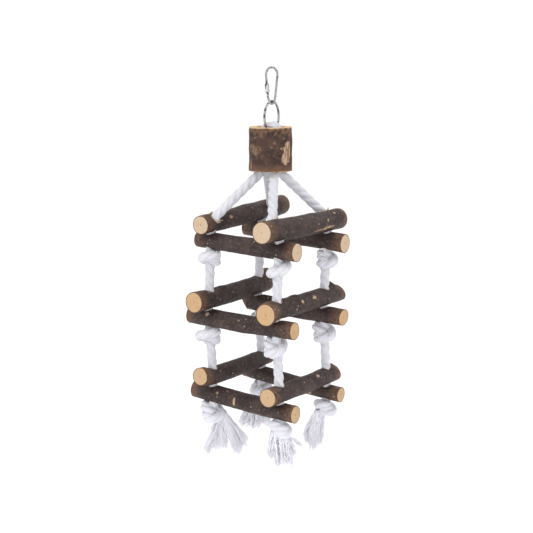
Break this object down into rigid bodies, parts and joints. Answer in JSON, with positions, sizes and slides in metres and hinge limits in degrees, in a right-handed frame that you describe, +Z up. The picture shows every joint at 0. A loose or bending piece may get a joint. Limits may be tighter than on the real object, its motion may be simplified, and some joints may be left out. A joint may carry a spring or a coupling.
{
  "type": "hanging perch ladder",
  "caption": "Hanging climbing ladder for cage birds: tiers of crossed bark perches on knotted cotton ropes, under a bark block, a steel ring and a quick link.",
  "frame": {"origin": "inside of the quick link's top, where the hook that holds the ladder bears", "axes": "+Z up; +X along each tier's lower perches; +Y along each tier's upper perches, away from the front corners"},
  "size_m": [0.1384, 0.1575, 0.4231],
  "materials": {
    "steel": "zinc plated",
    "perch_bark": "smooth natural bark",
    "block_bark": "rough natural bark",
    "cotton": "twisted white cotton"
  },
  "bodies": {
    "link": {"quick_link": "steel"},
    "sleeve": {"link_sleeve": "steel"},
    "ring": {"hanging_ring": "steel"},
    "ropes": {"head_block": "block_bark", "rope_front": "cotton", "rope_back": "cotton", "perch_top_front": "perch_bark", "perch_top_back": "perch_bark", "perch_top_left": "perch_bark", "perch_top_right": "perch_bark", "knot_top_fl": "cotton", "knot_top_fr": "cotton", "knot_top_br": "cotton", "knot_top_bl": "cotton", "knot_middle_fl": "cotton", "knot_middle_fr": "cotton", "knot_middle_br": "cotton", "knot_middle_bl": "cotton", "knot_bottom_fl": "cotton", "knot_bottom_fr": "cotton", "knot_bottom_br": "cotton", "knot_bottom_bl": "cotton", "tassel_fl": "cotton", "tassel_fr": "cotton", "tassel_br": "cotton", "tassel_bl": "cotton"},
    "middle_lower_perches": {"perch_middle_front": "perch_bark", "perch_middle_back": "perch_bark"},
    "middle_left_perch": {"perch_middle_left": "perch_bark"},
    "middle_right_perch": {"perch_middle_right": "perch_bark"},
    "bottom_lower_perches": {"perch_bottom_front": "perch_bark", "perch_bottom_back": "perch_bark"},
    "bottom_left_perch": {"perch_bottom_left": "perch_bark"},
    "bottom_right_perch": {"perch_bottom_right": "perch_bark"}
  },
  "joints": [
    {"name": "sleeve_travel", "type": "slide", "parent": "link", "child": "sleeve", "axis": [-0.1138, -0.016, 0.9934], "range_m": [0, 0.0065]},
    {"name": "ring_swing", "type": "hinge", "parent": "link", "child": "ring", "pos_m": [0, 0, -0.0358], "axis": [0.9903, 0.1392, 0], "range_deg": [-45, 45]},
    {"name": "rope_swing", "type": "hinge", "parent": "ring", "child": "ropes", "pos_m": [0, 0, -0.0643], "axis": [-0.1392, 0.9903, 0], "range_deg": [-25, 25]},
    {"name": "middle_lower_lift", "type": "slide", "parent": "ropes", "child": "middle_lower_perches", "axis": [0.0137, 0.0312, 0.9994], "range_m": [0, 0.009]},
    {"name": "middle_left_lift", "type": "slide", "parent": "middle_lower_perches", "child": "middle_left_perch", "axis": [0.0137, 0.0312, 0.9994], "range_m": [0, 0.011]},
    {"name": "middle_right_lift", "type": "slide", "parent": "middle_lower_perches", "child": "middle_right_perch", "axis": [0.0137, 0.0312, 0.9994], "range_m": [0, 0.011]},
    {"name": "bottom_lower_lift", "type": "slide", "parent": "ropes", "child": "bottom_lower_perches", "axis": [-0.0349, -0.0302, 0.9989], "range_m": [0, 0.011]},
    {"name": "bottom_left_lift", "type": "slide", "parent": "bottom_lower_perches", "child": "bottom_left_perch", "axis": [-0.0349, -0.0302, 0.9989], "range_m": [0, 0.012]},
    {"name": "bottom_right_lift", "type": "slide", "parent": "bottom_lower_perches", "child": "bottom_right_perch", "axis": [-0.0349, -0.0302, 0.9989], "range_m": [0, 0.014]}
  ]
}
